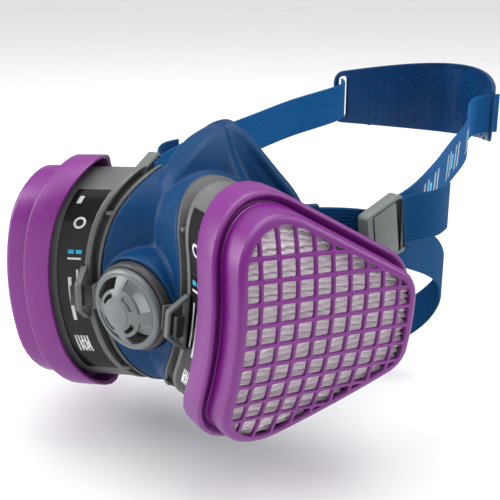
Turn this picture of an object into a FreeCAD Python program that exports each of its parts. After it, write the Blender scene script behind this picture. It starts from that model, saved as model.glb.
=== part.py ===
"""Half-mask respirator with two clip-on cartridges and a two-strap head harness.

Frame: millimetres, +Z up, +X towards the wearer's left, +Y back towards the head.
The origin is the centre of the face opening, where the facepiece seals on the face.
"""
import FreeCAD, Part
import math
import os

V = FreeCAD.Vector

# ---- driving dimensions -------------------------------------------------
webbing_width = 26.0
webbing_thickness = 1.6
skin = 3.0                      # facepiece wall

# cartridge, in its own frame: u back, v up, w outward from the face of the grille
cartridge_centre = V(92.3, -55.7, -12.5)
toe_in = 23.3                   # yaw of the grille away from straight sideways
face_drop = 2.0                 # the grille looks slightly down
rib_drop = 5.7                  # the ribs fall towards the back
bow_radius = 126.0              # the whole cartridge is bowed round an axis along u
front_u = -50.0
rear_u = 49.8
front_half = 71.0               # half height of the outline at its front edge
rear_half = 22.9
front_corner = 25.5
rear_corner = 14.6
step_height = 12.0              # grille cover above the flange
flange_out = 5.5                # flange beyond the cover's outline
skirt_depth = 14.0
skirt_wall = 2.4
cover_wall = 2.2
rim_width = 4.6
rib_pitch = 9.55
rib_width = 1.6
pleat_pitch = 3.2
pleat_depth = 7.0
canister_end = 46.0             # depth of the canister's inner end below the face
canister_wall = 1.8
cheek_start = 27.0              # where the canister's inner end starts to slope off the cheek
cheek_top = 28.0                # depth at which that slope meets the canister's rear wall
port_depth = 50.0               # depth of the port frame's outer face
port_rear_u = 26.0
latch_v = -4.0                  # height of the latch on the cartridge
gap = 0.3

# exhalation valve, in its own frame: z forward, out of the mask
valve_centre = V(0, -90.0, -10.0)
valve_tilt = 2.0
valve_radius = 20.0
valve_dome = 8.0

# inhalation valve, on the port frame
intake_u = -10.0
intake_radius = 18.0

# harness
buckle_rear = V(78.6, 28.5, 18.5)
buckle_front = V(73.0, 4.5, 14.5)
buckle_height = 33.0
buckle_length = 27.0
buckle_depth = 6.4
buckle_wall = 1.6
buckle_narrowing = 4.0          # each side, from the rear edge to the front edge
lever_pivot = 6.5               # ahead of the frame's rear edge
lever_lift = 3.4                # height of the lever's pin above the frame's inner face
pin_radius = 1.0
running_fit = 0.06
cradle_half = 60.0
cradle_back = 278.0
cradle_depth = 73.0
cradle_thickness = 2.6
slot_x = 57.0


# ---- small tools --------------------------------------------------------
def rounded_polygon(points, radii, height=0.0):
    """Closed wire through the corners, each rounded by its own radius."""
    count = len(points)
    starts, middles, ends = [], [], []
    for i in range(count):
        corner = V(points[i][0], points[i][1], height)
        before = V(*points[i - 1], height) - corner
        after = V(*points[(i + 1) % count], height) - corner
        before.normalize()
        after.normalize()
        half = before.getAngle(after) / 2
        reach = radii[i] / math.tan(half)
        bisector = before + after
        bisector.normalize()
        starts.append(corner + before * reach)
        ends.append(corner + after * reach)
        middles.append(corner + bisector * (radii[i] / math.sin(half) - radii[i]))
    edges = []
    for i in range(count):
        edges.append(Part.Arc(starts[i], middles[i], ends[i]).toShape())
        edges.append(Part.makeLine(ends[i], starts[(i + 1) % count]))
    return Part.Wire(edges)


def prism(wire, height):
    return Part.Face(wire).extrude(V(0, 0, height))


def box(u0, u1, v0, v1, w0, w1):
    return Part.makeBox(u1 - u0, v1 - v0, w1 - w0, V(u0, v0, w0))


def tube(outer, inner, z0, z1, u=0.0, v=0.0):
    base = V(u, v, z0)
    return Part.makeCylinder(outer, z1 - z0, base).cut(Part.makeCylinder(inner, z1 - z0, base))


def mirrored(shape):
    return shape.mirror(V(0, 0, 0), V(1, 0, 0))


def save(name, shape):
    solids = shape.Solids
    result = solids[0] if len(solids) == 1 else Part.makeCompound(solids)
    result.exportStep("parts/" + name + ".step")
    volume = result.Volume / 1000
    print(f"{name:28s} solids {len(solids)}  volume {volume:8.2f} cm3  valid {result.isValid()}")


def save_pair(name, shape):
    save(name + "_left", shape)
    save(name + "_right", mirrored(shape))


# ---- cartridge frame ----------------------------------------------------
def cartridge_placement():
    to_side = FreeCAD.Rotation(V(0, 1, 0), V(0, 0, 1), V(1, 0, 0), "XYZ")
    roll = FreeCAD.Rotation(V(0, 0, 1), -rib_drop)
    tilt = FreeCAD.Rotation(V(0, 1, 0), face_drop)
    yaw = FreeCAD.Rotation(V(0, 0, 1), -toe_in)
    return FreeCAD.Placement(cartridge_centre, yaw * tilt * to_side * roll)


def on_cartridge(shape):
    placed = shape.copy()
    placed.Placement = cartridge_placement().multiply(placed.Placement)
    return placed


def outline(grow, rear=rear_u):
    """The cartridge's rounded trapezoid, grown outward by grow."""
    slope = (front_half - rear_half) / (rear_u - front_u)
    side = grow * math.hypot(1.0, slope)
    u0 = front_u - grow
    u1 = rear + grow
    h0 = front_half - slope * (u0 - front_u) + side
    h1 = front_half - slope * (u1 - front_u) + side
    corners = [(u0, -h0), (u1, -h1), (u1, h1), (u0, h0)]
    radii = [front_corner + grow, rear_corner + grow, rear_corner + grow, front_corner + grow]
    return rounded_polygon(corners, radii, -bow_radius)


def bow(radius):
    """Solid drum whose skin is the bowed surface at this radius."""
    return Part.makeCylinder(radius, 200, V(-100, 0, -bow_radius), V(1, 0, 0))


def layer(grow, top, bottom, rear=rear_u):
    """Slab of the outline between two depths below the face, bowed like the face."""
    block = prism(outline(grow, rear), bow_radius + 10)
    return block.common(bow(bow_radius - top).cut(bow(bow_radius - bottom)))


def ring(outer, inner, top, bottom, rear=rear_u):
    return layer(outer, top, bottom, rear).cut(layer(inner, top - 1, bottom + 1, rear))


# ---- cartridge pieces ---------------------------------------------------
def grille_cells():
    """Prisms of the open cells: the window in the cover less its ribs."""
    cells = prism(outline(-rim_width), bow_radius + 10)
    reach = 10
    bars = []
    for i in range(-reach, reach + 1):
        at = i * rib_pitch
        bars.append(box(at - rib_width / 2, at + rib_width / 2, -80, 80, -bow_radius, 12))
        bars.append(box(-80, 80, at - rib_width / 2, at + rib_width / 2, -bow_radius, 12))
    return cells.cut(bars)


def grille_cover():
    shell = layer(0, 0, step_height - gap)
    hollow = layer(-cover_wall, cover_wall, step_height + 2)
    return shell.cut(hollow).cut(grille_cells())


def filter_housing():
    """Flange plate, outer skirt and the throat that holds the pleated pack."""
    plate = ring(flange_out, -4.0, step_height, step_height + 2)
    skirt = ring(flange_out, flange_out - skirt_wall, step_height + 1, step_height + skirt_depth)
    return plate.fuse(skirt).removeSplitter()


def pleated_media():
    """Zigzag sheet, its folds running along u."""
    sheet = 0.7
    folds = int(110 / pleat_pitch)
    crest = bow_radius - cover_wall - 1.2
    upper, lower = [], []
    for i in range(2 * folds + 1):
        angle = (i - folds) * pleat_pitch / 2 / bow_radius
        radius = crest - pleat_depth * (i % 2)
        for r, side in ((radius, upper), (radius - sheet, lower)):
            side.append(V(-80, r * math.sin(angle), r * math.cos(angle) - bow_radius))
    wire = Part.makePolygon(upper + lower[::-1] + [upper[0]])
    return Part.Face(wire).extrude(V(160, 0, 0)).common(prism(outline(-4.4), bow_radius + 10))


def slots(grow, count=7):
    """Rows of slots that let air through a plate."""
    bars = []
    for i in range(count):
        at = (i - (count - 1) / 2) * 11.0
        bars.append(box(-80, 80, at - 2.5, at + 2.5, -bow_radius, 12))
    window = prism(outline(grow), bow_radius + 10)
    return window.common(Part.makeCompound(bars))


def cheek_wedge(inset):
    """What is cut from the rear inner corner, so that the canister clears the cheek."""
    u0, u1, u2 = cheek_start - inset, rear_u + 2 - inset, 90
    top, bottom = -cheek_top + inset, -canister_end + inset
    corners = [V(u0, -90, bottom), V(u1, -90, top), V(u2, -90, top), V(u2, -90, -bow_radius),
               V(u0 - 60, -90, -bow_radius), V(u0, -90, bottom)]
    return Part.Face(Part.makePolygon(corners)).extrude(V(0, 180, 0))


def screen(top):
    return layer(-canister_wall - 1.0, top, top + 0.8).cut(slots(-9)).cut(cheek_wedge(2.8))


def carbon_bed():
    return layer(-canister_wall - 1.0, 16.2, canister_end - 4.2).cut(cheek_wedge(2.8))


def canister():
    """Cup that is open towards the pleated pack, with a round outlet in its floor."""
    cup = layer(-0.5, step_height + 2.2, canister_end).cut(cheek_wedge(0))
    room = layer(-0.5 - canister_wall, step_height, canister_end - 2).cut(cheek_wedge(2))
    outlet = Part.makeCylinder(intake_radius, bow_radius, V(intake_u, 0, -bow_radius))
    return cup.cut(room).cut(outlet)


def label():
    """Printed wrap on the front wall of the canister."""
    band = ring(-0.15, -0.45, step_height + skirt_depth + 3, canister_end - 2.5)
    front = box(-60, -30, -40, 45, -bow_radius, 0)
    return band.common(front)


def gasket():
    return ring(-4, -8, canister_end + gap, port_depth - gap, port_rear_u)


def latch_loop():
    """Trapezoid loop on the canister's front wall that the latch tongue passes through."""
    outer = rounded_polygon([(-61, -6.5), (-50.2, -14.5), (-50.2, 14.5), (-61, 6.5)], [2, 1, 1, 2])
    inner = rounded_polygon([(-59.2, -5.7), (-52.2, -11), (-52.2, 11), (-59.2, 5.7)], [1, 1, 1, 1])
    loop = prism(outer, 3.4).cut(prism(inner, 3.4))
    loop.translate(V(0, latch_v, -canister_end + 0.6))
    return loop


def latch_tongue():
    """Springy black tongue that stands inside the loop."""
    blade = box(-58.6, -56.4, -5, 5, -port_depth - 0.2, -38.5)
    pad = box(-58.6, -54.2, -5, 5, -41.5, -38.5)
    tongue = blade.fuse(pad).removeSplitter()
    tongue.translate(V(0, latch_v, 0))
    return tongue


def port_frame():
    """Rigid frame in the facepiece's side: rim, web, inhalation seat and latch lug."""
    web = layer(0.6, port_depth, port_depth + 1.6, port_rear_u)
    seat = tube(intake_radius + 3, intake_radius, -64, -52, intake_u)
    web = web.cut(Part.makeCylinder(intake_radius, 40, V(intake_u, 0, -80)))
    spokes = box(intake_u - 18.5, intake_u + 18.5, -1.2, 1.2, -64, -61.5)
    spokes = spokes.fuse(box(intake_u - 1.2, intake_u + 1.2, -18.5, 18.5, -64, -61.5))
    hub = tube(4.0, 1.6, -64, -61.5, intake_u)
    spokes = spokes.cut(Part.makeCylinder(1.6, 40, V(intake_u, 0, -80)))
    lug = box(-59, -48.5, latch_v - 6, latch_v + 6, -port_depth - 2.4, -port_depth - 0.4)
    frame = web.fuse([seat, spokes, hub, lug])
    for v in (-44, 36):
        at = -46.5 if v < 0 else -47.5
        low = -port_depth - 0.5 - v * v / 2 / (bow_radius - port_depth)
        frame = frame.fuse(box(at - 1.8, at + 1.2, v - 0.8, v + 0.8, low - 1.0, low + 3.2))
    return frame.removeSplitter()


def inhalation_flap():
    disc = Part.makeCylinder(intake_radius + 1.8, 0.8, V(intake_u, 0, -65.0))
    stem = Part.makeCylinder(1.55, 6.2, V(intake_u, 0, -64.4))
    knob = Part.makeCone(2.6, 1.2, 1.6, V(intake_u, 0, -59.6))
    return disc.fuse([stem, knob]).removeSplitter()


# ---- facepiece ----------------------------------------------------------
# height, front y, seal y, half width at the front, half width at the seal
facepiece_sections = [
    (-66, -44, -26, 5, 11),
    (-58, -60, -17, 12, 25),
    (-46, -75, -5, 18, 38),
    (-28, -82, 5, 22, 46),
    (-8, -83, 10, 24, 49),
    (12, -78, 8, 22, 46.5),
    (30, -67, 2, 18, 41),
    (43, -60, -4, 15, 35),
    (54, -51, -7, 11, 27),
    (63, -38, -9, 8, 18),
    (69, -22, -11, 5, 9),
]


def facepiece_wire(z, front, seal, half_front, half_seal):
    depth = seal - front
    flare = half_seal - half_front
    right = [(half_seal, seal), (half_front + 0.5 * flare, front + 0.5 * depth),
             (half_front, front + 0.15 * depth), (0.6 * half_front, front + 0.03 * depth)]
    points = [V(-x, y, z) for x, y in right] + [V(0, front, z)]
    points += [V(x, y, z) for x, y in right[::-1]]
    curve = Part.BSplineCurve()
    curve.interpolate(points)
    back = Part.makeLine(points[-1], points[0])
    return Part.Wire([curve.toShape(), back])


def facepiece_loft(inset):
    """Solid of the sections, or the cavity inside them when inset is the wall."""
    wires = []
    for z, front, seal, half_front, half_seal in facepiece_sections:
        z = z * (1 - inset / 66.0)
        seal = seal + 4 * (inset > 0)
        wires.append(facepiece_wire(z, front + inset, seal, max(half_front - inset, 2),
                                    half_seal - inset * 1.1))
    return Part.makeLoft(wires, True, False)


def valve_placement():
    forward = FreeCAD.Rotation(V(1, 0, 0), 90 + valve_tilt)
    return FreeCAD.Placement(valve_centre, forward)


def on_valve(shape):
    placed = shape.copy()
    placed.Placement = valve_placement().multiply(placed.Placement)
    return placed


def facepiece():
    """Soft skin: loft of the sections, a collar at each port and a hood round the valve."""
    collar = on_cartridge(layer(0.6, port_depth + 1.6 + gap, port_depth + 13, port_rear_u))
    duct = on_cartridge(layer(-2.6, port_depth, port_depth + 20, port_rear_u))
    clear = on_cartridge(outside_of_port())
    hood = on_valve(Part.makeCylinder(valve_radius + 4.4, 20, V(0, 0, -26)))
    bore = on_valve(Part.makeCylinder(valve_radius + 0.9, 60, V(0, 0, -32)))
    body = facepiece_loft(0).fuse([collar, mirrored(collar), hood])
    return body.cut([clear, mirrored(clear), facepiece_loft(skin), duct, mirrored(duct),
                     bore]).removeSplitter()


def outside_of_port():
    """Everything further out than the port frame's seat, and the room for its latch lug."""
    block = prism(outline(12.0), bow_radius + 60)
    block = block.cut(bow(bow_radius - port_depth - 1.6 - gap))
    return block.fuse(box(-60, -48, latch_v - 6.5, latch_v + 6.5, -port_depth - 2.8, 0))


# ---- exhalation valve ---------------------------------------------------
def exhalation_seat():
    body = tube(valve_radius + 0.6, valve_radius - 2.0, -15, -2.4)
    flange = tube(valve_radius + 3.4, valve_radius - 2.0, -28.4, -26.4)
    neck = tube(valve_radius + 0.6, valve_radius - 2.0, -26.6, -14.8)
    seat = tube(valve_radius - 1.5, valve_radius - 5, -13, -11)
    spokes = Part.makeBox(32, 2, 2, V(-16, -1, -13)).fuse(Part.makeBox(2, 32, 2, V(-1, -16, -13)))
    hub = Part.makeCylinder(3.6, 2, V(0, 0, -13))
    whole = body.fuse([flange, neck, seat, spokes, hub])
    return whole.cut(Part.makeCylinder(1.6, 30, V(0, 0, -30))).removeSplitter()


def exhalation_flap():
    disc = Part.makeCylinder(valve_radius - 3, 0.8, V(0, 0, -10.7))
    stem = Part.makeCylinder(1.55, 4.6, V(0, 0, -15.0))
    knob = Part.makeCone(1.2, 2.6, 1.6, V(0, 0, -16.0))
    return disc.fuse([stem, knob]).removeSplitter()


def dome_solid(radius, height, z):
    """Spherical cap standing on the plane z."""
    sphere_radius = (radius * radius + height * height) / 2 / height
    ball = Part.makeSphere(sphere_radius, V(0, 0, z + height - sphere_radius))
    return ball.common(Part.makeCylinder(radius, height + 1, V(0, 0, z)))


def window_sector(outer, inner, angle, spread):
    """Arc-shaped window, cut straight through the dome."""
    half = math.radians(spread / 2)
    middle = math.radians(angle)

    def at(radius, turn):
        return V(radius * math.cos(middle + turn), radius * math.sin(middle + turn), -1)

    edges = [Part.Arc(at(outer, -half), at(outer, 0), at(outer, half)).toShape(),
             Part.makeLine(at(outer, half), at(inner, half)),
             Part.Arc(at(inner, half), at(inner, 0), at(inner, -half)).toShape(),
             Part.makeLine(at(inner, -half), at(outer, -half))]
    return Part.Face(Part.Wire(edges)).extrude(V(0, 0, 20))


def exhalation_cover():
    """Domed cover: rim, four spokes, a middle ring and a plain centre disc."""
    rim = tube(valve_radius, valve_radius - 1.8, -2.0, 0.6)
    dome = dome_solid(valve_radius - 1.0, valve_dome, 0)
    dome = dome.cut(dome_solid(valve_radius - 2.4, valve_dome - 1.6, -0.1))
    cover = rim.fuse(dome)
    for quarter in range(4):
        middle = 45 + 90 * quarter
        cover = cover.cut(window_sector(17.2, 12.0, middle, 66))
        cover = cover.cut(window_sector(10.4, 8.4, middle, 50))
    return cover.removeSplitter()


# ---- harness ------------------------------------------------------------
def ribbon(points, lean, steps=24):
    """Webbing along a smooth line through the points.

    Its width is square to its route when lean is 1, and upright when lean is 0.
    """
    line = Part.BSplineCurve()
    line.interpolate(points)
    wires = []
    for i in range(steps + 1):
        at = line.FirstParameter + (line.LastParameter - line.FirstParameter) * i / steps
        along = line.tangent(at)[0]
        across = along.cross(V(0, 0, 1))
        across.normalize()
        up = V(0, 0, 1) - along * (lean * along.z)
        up.normalize()
        a = up * (webbing_width / 2)
        b = across * (webbing_thickness / 2)
        middle = line.value(at)
        corners = [middle + a + b, middle + a - b, middle - a - b, middle - a + b]
        wires.append(Part.makePolygon(corners + corners[:1]))
    return Part.makeLoft(wires, True, True)


def bend(start, turn, end, steps=6):
    """Points of one smooth bend from start to end, leaving start towards turn."""
    points = []
    for i in range(steps + 1):
        t = i / steps
        points.append(start * (1 - t) ** 2 + turn * (2 * t * (1 - t)) + end * t ** 2)
    return points


lower_route = [V(50.5, -5, 16), V(56.5, 1.5, 15.5), V(63.5, 9, 14.5), V(70, 22, 11), V(75, 40, 3),
               V(78, 62, -7), V(80, 84, -19), V(78.5, 98, -33), V(73, 104, -49),
               V(60, 98, -65), V(40, 82, -77), V(20, 71, -83.5)]


def lower_strap():
    """One webbing from anchor to anchor, passing slack behind the neck."""
    right = [V(-p.x, p.y, p.z) for p in lower_route[::-1]]
    return ribbon(lower_route + [V(0, 67.5, -85.5)] + right, 0, 80)


def strap_lug(neighbours):
    """Moulded block on the cheek of the facepiece that the lower webbing is fixed in."""
    tall = webbing_width + 2.5
    block = Part.makeBox(11, 4.4, tall, V(-8.5, -2.2, -tall / 2))
    route = lower_route[1] - lower_route[0]
    block.rotate(V(0, 0, 0), V(0, 0, 1), math.degrees(math.atan2(route.y, route.x)))
    block.translate(lower_route[0])
    return block.cut(neighbours)


def cradle_y(x):
    return cradle_back - cradle_depth * (x / cradle_half) ** 2


def cradle_low(x):
    return 12.5 + 13.5 * (x / cradle_half) ** 2


def cradle_high(x):
    return 66.0 - 3.0 * (x / cradle_half) ** 2


def cradle_normal(x):
    """Level direction square to the band, pointing away from the head."""
    normal = V(2 * cradle_depth * x / cradle_half ** 2, 1, 0)
    normal.normalize()
    return normal


def cradle():
    """Rubber band bowed round the back of the head, with a slot near each end."""
    xs = [-62, -48, -32, -16, 0, 16, 32, 48, 62]
    wires = []
    for x in xs:
        inner = V(x, cradle_y(x), 0)
        outer = inner + cradle_normal(x) * cradle_thickness
        low = V(0, 0, cradle_low(x))
        high = V(0, 0, cradle_high(x))
        corners = [inner + low, outer + low, outer + high, inner + high]
        wires.append(Part.makePolygon(corners + corners[:1]))
    band = Part.makeLoft(wires, True, False)
    for side in (-1, 1):
        band = band.cut(slot_cutter(side))
    return band


def slot_cutter(side):
    """Upright slot, cut square through the band where the strap passes."""
    slot_height = webbing_width + 5
    cutter = Part.makeBox(30, 8, slot_height, V(-15, -4, -slot_height / 2))
    slope = math.degrees(math.atan(2 * cradle_depth * slot_x / cradle_half ** 2))
    cutter.rotate(V(0, 0, 0), V(0, 0, 1), side * (90 - slope))
    middle = (cradle_low(slot_x) + cradle_high(slot_x)) / 2
    x = side * slot_x
    cutter.translate(V(x, cradle_y(x), middle) + cradle_normal(x) * (cradle_thickness / 2))
    return cutter


def buckle_placement():
    along = buckle_rear - buckle_front
    along.normalize()
    outward = along.cross(V(0, 0, 1))
    outward.normalize()
    return FreeCAD.Placement((buckle_rear + buckle_front) * 0.5,
                             FreeCAD.Rotation(along, V(0, 0, 1), outward, "XYZ"))


def on_buckle(shape):
    placed = shape.copy()
    placed.Placement = buckle_placement().multiply(placed.Placement)
    return placed


def buckle_taper(x):
    """Half height of the trapezoid frame at a place along it."""
    return buckle_height / 2 - buckle_narrowing * (0.5 - x / buckle_length)


def buckle_plate(rear, front, margin, corner):
    """Trapezoid inside the frame's outline, margin in from its sloping edges."""
    high = buckle_taper(rear) - margin
    low = buckle_taper(front) - margin
    return rounded_polygon([(front, -low), (rear, -high), (rear, high), (front, low)],
                           [corner] * 4)


def buckle_frame():
    """Trapezoid frame with a gripping bar across it and gaps for the webbing at its rear."""
    half = buckle_length / 2
    frame = prism(buckle_plate(half, -half, 0, 2.5), buckle_depth)
    frame = frame.cut(prism(buckle_plate(half - 2.8, -half + 4, buckle_wall, 0.8), buckle_depth))
    wide = webbing_width / 2 + 0.6
    rear = half - 3.2
    grip = Part.makeBox(2.6, 2 * buckle_taper(0) - 3, 1.6, V(-1.4, 1.5 - buckle_taper(0), 0))
    under = Part.makeBox(6, 2 * wide, 2, V(rear, -wide, -0.6))
    over = Part.makeBox(6, 2 * wide, 3.4, V(rear, -wide, 3.2))
    return frame.fuse(grip).cut([under, over, pin_line(pin_radius + running_fit, 0.4)])


def pin_line(radius, short):
    """Cylinder on the lever's axis, short of the frame's height at each end."""
    x = buckle_length / 2 - lever_pivot
    half = buckle_taper(x) - short
    return Part.makeCylinder(radius, 2 * half, V(x, -half, lever_lift), V(0, 1, 0))


def buckle_lever():
    """Cover plate that grips the webbing with the cam along its rear edge."""
    half = buckle_length / 2
    pivot = half - lever_pivot
    plate = prism(buckle_plate(pivot + 0.8, -half + 4.4, buckle_wall + 0.5, 0.8), 2.0)
    plate.translate(V(0, 0, buckle_depth - 1.4))
    wide = buckle_taper(pivot - 2) - buckle_wall - 0.5
    cam = Part.makeCylinder(2.1, 2 * wide, V(pivot, -wide, lever_lift), V(0, 1, 0))
    return plate.fuse(cam).cut(pin_line(pin_radius + running_fit, 0)).removeSplitter()


def upper_strap():
    """Webbing from under the buckle's cam to the cradle's slot."""
    half = buckle_length / 2
    into = buckle_placement()
    slot_middle = (cradle_low(slot_x) + cradle_high(slot_x)) / 2
    start = into.multVec(V(half - 9.6, 0, 0.3))
    leaving = into.multVec(V(half + 2, 0, 0.3))
    turn = into.multVec(V(half + 30, 0, 0.3))
    slot = V(slot_x, cradle_y(slot_x), slot_middle) + cradle_normal(slot_x) * (cradle_thickness / 2)
    through = V(0.62, 0.78, 0.02)
    return ribbon([start] + bend(leaving, turn, slot - through * 8) + [slot + through * 5], 1)


def strap_tail():
    """Loose end that leaves over the buckle's rear bar."""
    half = buckle_length / 2
    into = buckle_placement()
    route = [(half - 2.9, 0, 4.4), (half + 3, 0, 4.7), (half + 12, -0.5, 8.5),
             (half + 26, -2.0, 10.5), (half + 36, -3.5, 7.0)]
    return ribbon([into.multVec(V(*p)) for p in route], 1)


# ---- the model ----------------------------------------------------------
def build_cartridge():
    pieces = {
        "grille_cover": grille_cover(),
        "pleated_media": pleated_media(),
        "filter_housing": filter_housing(),
        "outer_screen": screen(15.0),
        "carbon_bed": carbon_bed(),
        "inner_screen": screen(canister_end - 3.8),
        "canister": canister(),
        "canister_label": label(),
        "port_gasket": gasket(),
        "latch_loop": latch_loop(),
        "latch_tongue": latch_tongue(),
        "port_frame": port_frame(),
        "inhalation_flap": inhalation_flap(),
    }
    for name, shape in pieces.items():
        save_pair(name, on_cartridge(shape))


def build_valve():
    save("exhalation_seat", on_valve(exhalation_seat()))
    save("exhalation_flap", on_valve(exhalation_flap()))
    save("exhalation_cover", on_valve(exhalation_cover()))


def build_harness():
    save("head_cradle", cradle())
    save_pair("buckle_frame", on_buckle(buckle_frame()))
    save_pair("buckle_pin", on_buckle(pin_line(pin_radius, 0.7)))
    save_pair("buckle_lever", on_buckle(buckle_lever()))
    save_pair("upper_strap", upper_strap())
    save_pair("strap_tail", strap_tail())


def build_mask():
    skin_shape = facepiece()
    webbing = lower_strap()
    save("facepiece", skin_shape)
    save("lower_strap", webbing)
    save_pair("strap_lug", strap_lug([skin_shape, webbing, on_cartridge(port_frame())]))


os.makedirs("parts", exist_ok=True)
build_mask()
build_cartridge()
build_valve()
build_harness()
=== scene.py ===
"""Looks of the half-mask respirator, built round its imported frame.

Shapes are worked out in millimetres in the frame's axes and written in metres.
"""
import contextlib
import math

import bmesh
import bpy
import numpy as np
from mathutils import Matrix, Vector


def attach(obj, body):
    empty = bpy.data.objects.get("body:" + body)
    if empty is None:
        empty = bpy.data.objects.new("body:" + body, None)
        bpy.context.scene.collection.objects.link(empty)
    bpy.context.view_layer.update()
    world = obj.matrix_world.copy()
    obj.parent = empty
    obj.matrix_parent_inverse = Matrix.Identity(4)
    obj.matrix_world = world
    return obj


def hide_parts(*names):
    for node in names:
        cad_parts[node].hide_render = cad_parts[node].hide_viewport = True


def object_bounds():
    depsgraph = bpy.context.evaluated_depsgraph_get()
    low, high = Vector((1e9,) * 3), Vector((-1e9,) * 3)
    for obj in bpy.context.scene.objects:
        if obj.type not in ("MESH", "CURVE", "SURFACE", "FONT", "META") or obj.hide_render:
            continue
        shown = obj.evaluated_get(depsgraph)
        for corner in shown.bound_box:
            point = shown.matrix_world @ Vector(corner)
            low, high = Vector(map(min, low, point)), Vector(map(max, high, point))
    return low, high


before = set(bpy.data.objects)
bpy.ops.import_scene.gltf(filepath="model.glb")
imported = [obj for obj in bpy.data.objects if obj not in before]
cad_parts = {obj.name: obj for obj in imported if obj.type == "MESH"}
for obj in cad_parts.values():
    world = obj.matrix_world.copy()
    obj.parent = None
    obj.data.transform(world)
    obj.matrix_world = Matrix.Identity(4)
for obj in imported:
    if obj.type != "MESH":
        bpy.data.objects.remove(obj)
cad_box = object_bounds()

MM = 0.001
SIDES = (("left", 1), ("right", -1))

# ---- driving dimensions, in millimetres ---------------------------------
WEBBING_WIDTH = 26.0
WEBBING_THICKNESS = 1.6
WEBBING_CORDS = 14
CORD_HEIGHT = 0.16

CARTRIDGE_CENTRE = Vector((92.3, -55.7, -12.5))
TOE_IN = 23.3
FACE_DROP = 2.0
RIB_DROP = 5.7
BOW = 126.0
FRONT_U = -50.0
REAR_U = 49.8
PORT_REAR_U = 26.0
FRONT_HALF = 71.0
REAR_HALF = 22.9
FRONT_CORNER = 25.5
REAR_CORNER = 14.6
TAPER = (FRONT_HALF - REAR_HALF) / (REAR_U - FRONT_U)
FLANGE = 5.5
SKIRT_END = 26.0
RIM = 4.6
PITCH = 9.55
RIB = 1.6
RIB_REACH = 4
PLEAT = PITCH / 3
PLEAT_DEPTH = 3.4
MEDIA_TOP = 3.6
MEDIA_BACK = 11.0
CANISTER_END = 46.0
CHEEK_START = 27.0
CHEEK_TOP = 28.0
PORT_DEPTH = 50.0
INTAKE_U = -10.0
INTAKE_RADIUS = 18.0

VALVE_CENTRE = Vector((0, -90.0, -10.0))
VALVE_TILT = 2.0
VALVE_DOME = 8.0
DOME_RADIUS = 19.0
BORE_RADIUS = 20.9

BUCKLE_REAR = Vector((78.6, 28.5, 18.5))
BUCKLE_FRONT = Vector((73.0, 4.5, 14.5))
BUCKLE_LENGTH = 27.0
CRADLE_HALF = 60.0
CRADLE_BACK = 278.0
CRADLE_DEPTH = 73.0
CRADLE_THICKNESS = 2.6
CRADLE_CORNER = 8.0
BUMP_RADIUS = 1.25
BUMP_PITCH = 6.6
SLOT_X = 57.0


# ---- places -------------------------------------------------------------
def axes(x, y, z):
    """Rotation that sends the local axes to these directions."""
    return Matrix((x, y, z)).transposed().to_4x4()


def turn(degrees, axis):
    return Matrix.Rotation(math.radians(degrees), 4, axis)


CARTRIDGE = (Matrix.Translation(CARTRIDGE_CENTRE) @ turn(-TOE_IN, "Z") @ turn(FACE_DROP, "Y")
             @ axes((0, 1, 0), (0, 0, 1), (1, 0, 0)) @ turn(-RIB_DROP, "Z"))
VALVE = Matrix.Translation(VALVE_CENTRE) @ turn(90 + VALVE_TILT, "X")


def buckle_place():
    along = (BUCKLE_REAR - BUCKLE_FRONT).normalized()
    outward = along.cross(Vector((0, 0, 1))).normalized()
    up = outward.cross(along)
    return Matrix.Translation((BUCKLE_REAR + BUCKLE_FRONT) / 2) @ axes(along, up, outward)


BUCKLE = buckle_place()


def bowed(u, v, depth, drop=0.0):
    """Point of the cartridge at a depth below its bowed face, then dropped straight in."""
    return Vector((u, v, math.sqrt((BOW - depth) ** 2 - v * v) - BOW - drop))


# ---- mesh tools ---------------------------------------------------------
def add_mesh(name, shape, look, place, side, sharp, uvs):
    """Object from (vertices, faces) in local millimetres."""
    vertices, faces = shape
    moved = [place @ Vector(p) for p in vertices]
    mesh = bpy.data.meshes.new(name)
    mesh.from_pydata([(p.x * side * MM, p.y * MM, p.z * MM) for p in moved], [], faces)
    if uvs:
        layer = mesh.uv_layers.new(name="UVMap")
        for loop in mesh.loops:
            layer.data[loop.index].uv = uvs[loop.vertex_index]
    mesh.materials.append(look)
    if side < 0:
        mesh.flip_normals()
    finish_mesh(mesh, sharp)
    return link(name, mesh)


def link(name, data):
    """New object in the scene."""
    piece = bpy.data.objects.new(name, data)
    bpy.context.scene.collection.objects.link(piece)
    return piece


def add_piece(name, shape, look, body, slot, *nodes, place=Matrix.Identity(4), side=1, sharp=35, uvs=None):
    """Finished piece that rides on its body and stands for its CAD nodes."""
    piece = outward(add_mesh(name, shape, look, place, side, sharp, uvs))
    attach(piece, body)
    if nodes:
        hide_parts(*nodes)


def finish_mesh(mesh, sharp):
    mesh.validate()
    mesh.polygons.foreach_set("use_smooth", [True] * len(mesh.polygons))
    mesh.set_sharp_from_angle(angle=math.radians(sharp))
    mesh.update()


@contextlib.contextmanager
def editing(mesh):
    """The mesh as an editable copy, written back at the end."""
    work = bmesh.new()
    work.from_mesh(mesh)
    yield work
    work.to_mesh(mesh)
    work.free()


def outward(piece):
    """Turns every face of a closed mesh outward."""
    with editing(piece.data) as work:
        bmesh.ops.recalc_face_normals(work, faces=work.faces)
    return piece


def grid(rows, cols, wrap_rows=False, wrap_cols=False, start=0):
    """Quads of a grid of points stored row by row."""
    faces = []
    for i in range(rows if wrap_rows else rows - 1):
        for j in range(cols if wrap_cols else cols - 1):
            a = i * cols + j
            b = i * cols + (j + 1) % cols
            c = ((i + 1) % rows) * cols + (j + 1) % cols
            d = ((i + 1) % rows) * cols + j
            faces.append(tuple(start + k for k in (a, b, c, d)))
    return faces


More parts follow.
